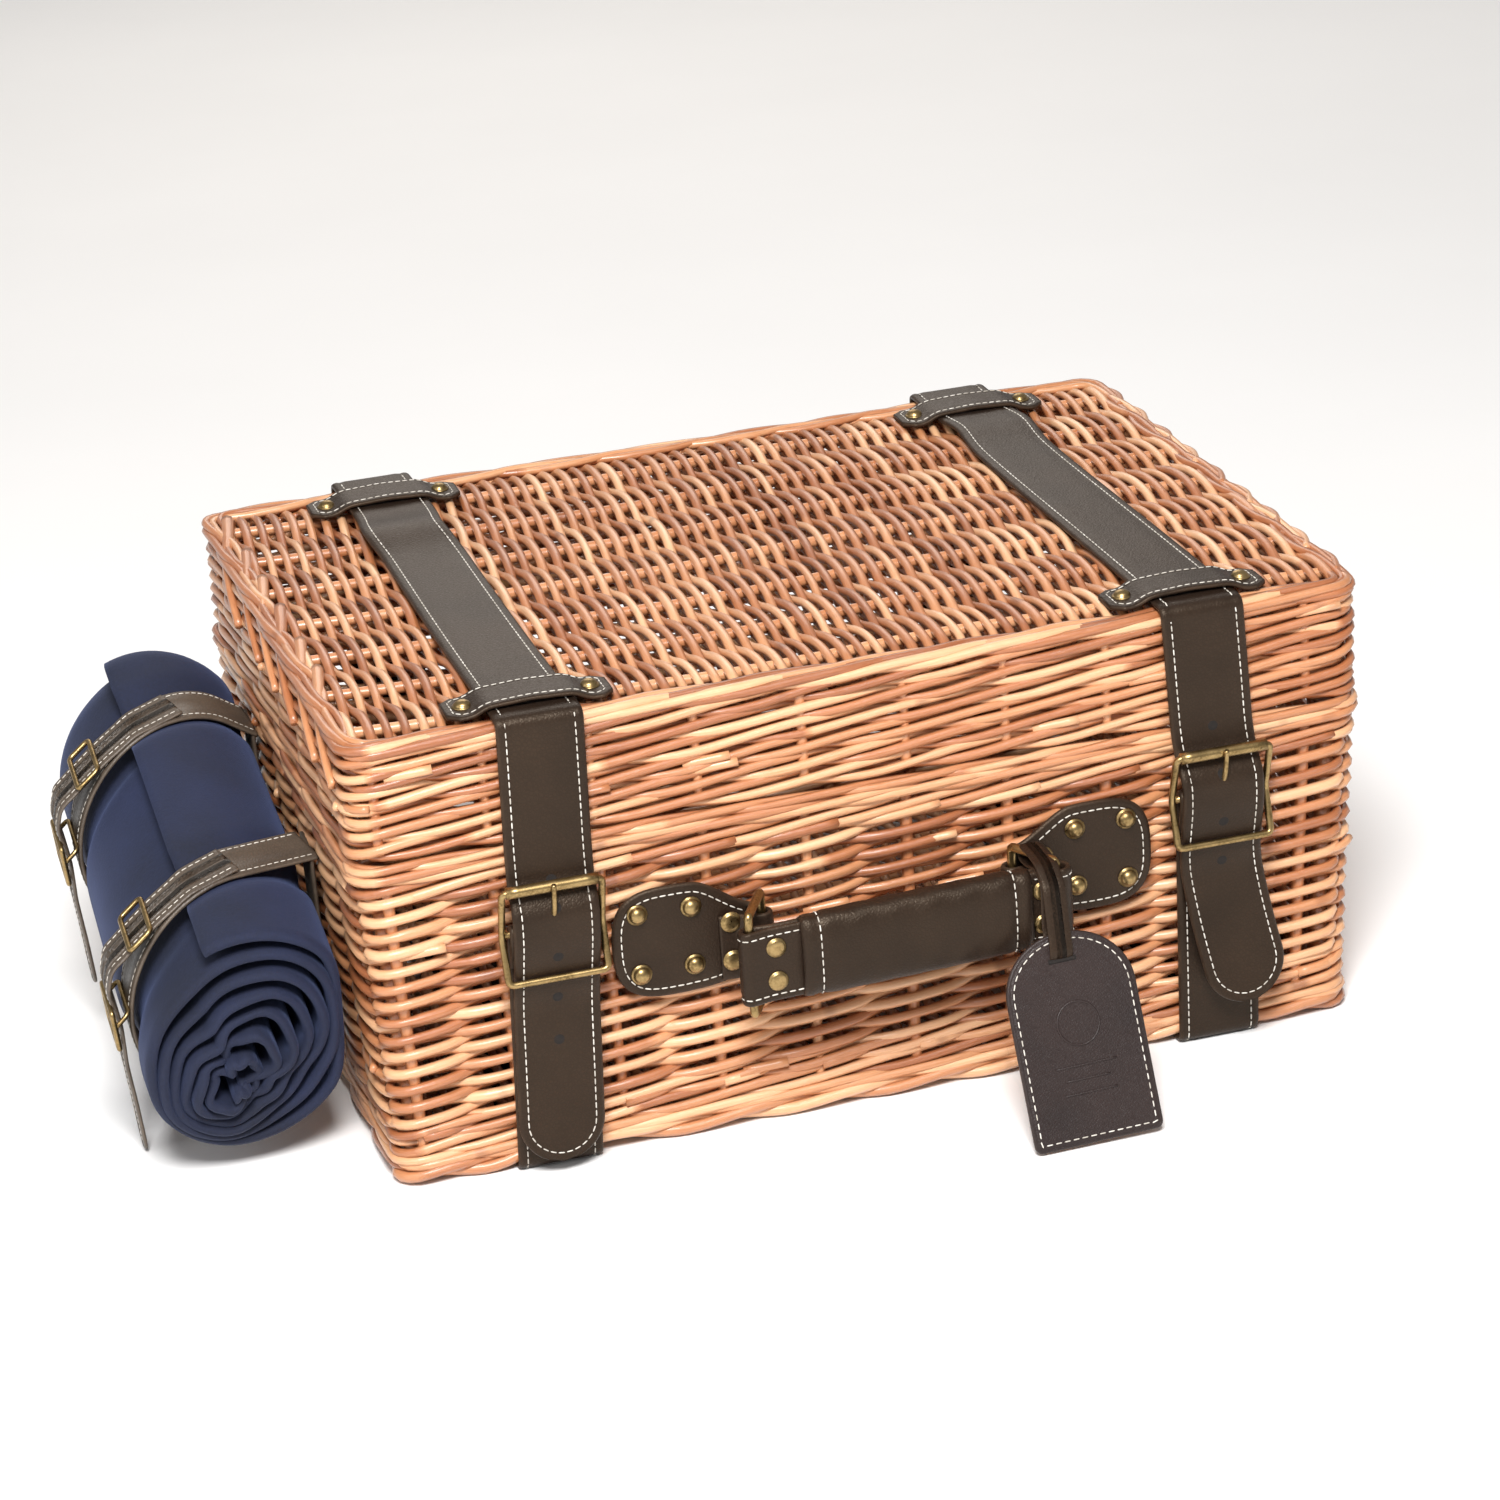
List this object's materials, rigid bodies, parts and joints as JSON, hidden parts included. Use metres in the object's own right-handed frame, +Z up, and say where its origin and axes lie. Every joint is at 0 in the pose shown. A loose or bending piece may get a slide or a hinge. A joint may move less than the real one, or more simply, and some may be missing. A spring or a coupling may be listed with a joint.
{
  "type": "picnic basket",
  "caption": "Willow picnic hamper with a hinged lid, wrap-round buckled leather straps, a padded handle on wire rings, a luggage tag and a blanket roll strapped to one end.",
  "frame": {"origin": "centre of the woven base's flat underside, which stands on the table", "axes": "+X to the basket's right as seen from the handle side, +Y to the back (hinge side), +Z up"},
  "size_m": [0.5694, 0.4198, 0.2148],
  "materials": {
    "willow": "glossy peeled rods",
    "cane": "satin",
    "leather": "fine grain, satin",
    "strap_leather": "fine grain, satin",
    "brass": "antique",
    "wool": "brushed"
  },
  "bodies": {
    "basket": {"base_panel": "willow", "foot_border": "willow", "wall_front": "willow", "wall_back": "willow", "wall_left": "willow", "wall_right": "willow", "post_front_left": "willow", "post_front_right": "willow", "post_back_left": "willow", "post_back_right": "willow", "border_front": "willow", "border_back": "willow", "border_left": "willow", "border_right": "willow", "hinge_loop_left": "cane", "hinge_loop_right": "cane", "strap_lower_left": "leather", "strap_lower_right": "leather", "anchor_left": "leather", "anchor_right": "leather", "blanket_strap_front": "strap_leather", "blanket_strap_back": "strap_leather", "blanket_buckle_front": "brass", "blanket_buckle_back": "brass"},
    "lid": {"lid_panel": "willow", "lid_rim_front": "willow", "lid_rim_back": "willow", "lid_rim_left": "willow", "lid_rim_right": "willow", "lid_hinge_rod": "willow", "strap_upper_left": "leather", "strap_upper_right": "leather", "strap_bend_left": "leather", "strap_bend_right": "leather", "keeper_front_left": "leather", "keeper_front_right": "leather", "keeper_back_left": "leather", "keeper_back_right": "leather", "rivet_front_left_a": "brass", "rivet_front_left_b": "brass", "rivet_front_right_a": "brass", "rivet_front_right_b": "brass", "rivet_back_left_a": "brass", "rivet_back_left_b": "brass", "rivet_back_right_a": "brass", "rivet_back_right_b": "brass"},
    "tail_left": {"strap_tail_left": "leather"},
    "tail_right": {"strap_tail_right": "leather"},
    "buckle_left": {"buckle_frame_left": "brass"},
    "buckle_right": {"buckle_frame_right": "brass"},
    "tongue_left": {"buckle_tongue_left": "brass"},
    "tongue_right": {"buckle_tongue_right": "brass"},
    "ring_left": {"ring_left": "brass"},
    "ring_right": {"ring_right": "brass"},
    "handle": {"handle_strap": "leather", "handle_grip": "leather"},
    "tag": {"luggage_tag": "leather", "tag_loop": "leather"},
    "blanket": {"blanket_roll": "wool"}
  },
  "joints": [
    {"name": "lid_hinge", "type": "hinge", "parent": "basket", "child": "lid", "pos_m": [0, 0.167, 0.158], "axis": [-1, 0, 0], "range_deg": [0, 105], "deforming": ["strap_bend_left", "strap_bend_right"]},
    {"name": "tail_left_hang", "type": "hinge", "parent": "lid", "child": "tail_left", "pos_m": [-0.144, -0.1724, 0.154], "axis": [-1, 0, 0], "range_deg": [-105, 0], "deforming": ["strap_tail_left"]},
    {"name": "tail_right_hang", "type": "hinge", "parent": "lid", "child": "tail_right", "pos_m": [0.151, -0.1724, 0.154], "axis": [-1, 0, 0], "range_deg": [-105, 0], "deforming": ["strap_tail_right"]},
    {"name": "buckle_left_rock", "type": "hinge", "parent": "basket", "child": "buckle_left", "pos_m": [-0.144, -0.17453, 0.115], "axis": [1, 0, 0], "range_deg": [-10, 10]},
    {"name": "buckle_right_rock", "type": "hinge", "parent": "basket", "child": "buckle_right", "pos_m": [0.151, -0.17476, 0.122], "axis": [1, 0, 0], "range_deg": [-10, 10]},
    {"name": "tongue_left_turn", "type": "hinge", "parent": "buckle_left", "child": "tongue_left", "pos_m": [-0.144, -0.17453, 0.115], "axis": [1, 0, 0], "range_deg": [0, 100]},
    {"name": "tongue_right_turn", "type": "hinge", "parent": "buckle_right", "child": "tongue_right", "pos_m": [0.151, -0.17476, 0.122], "axis": [1, 0, 0], "range_deg": [0, 100]},
    {"name": "ring_left_swing", "type": "hinge", "parent": "basket", "child": "ring_left", "pos_m": [-0.055, -0.17476, 0.0895], "axis": [0, 0, 1], "range_deg": [-15, 15]},
    {"name": "ring_right_swing", "type": "hinge", "parent": "basket", "child": "ring_right", "pos_m": [0.059, -0.17476, 0.0895], "axis": [0, 0, 1], "range_deg": [-15, 15]},
    {"name": "handle_swing", "type": "hinge", "parent": "ring_left", "child": "handle", "pos_m": [-0.06721, -0.19772, 0.0895], "axis": [0, 0, 1], "range_deg": [-13, 13]},
    {"name": "tag_lift", "type": "hinge", "parent": "ring_right", "child": "tag", "pos_m": [0.06449, -0.18509, 0.111], "axis": [-1, 0, 0], "range_deg": [0, 100], "deforming": ["tag_loop"]},
    {"name": "blanket_slide", "type": "slide", "parent": "basket", "child": "blanket", "axis": [0, 0.9763, 0.2164], "range_m": [0, 0.33]}
  ],
  "couplings": [
    {"joint": "tail_left_hang", "follows": "lid_hinge", "ratio": -1},
    {"joint": "tail_right_hang", "follows": "lid_hinge", "ratio": -1},
    {"joint": "ring_right_swing", "follows": "ring_left_swing", "ratio": 1},
    {"joint": "handle_swing", "follows": "ring_left_swing", "ratio": -0.8223}
  ]
}
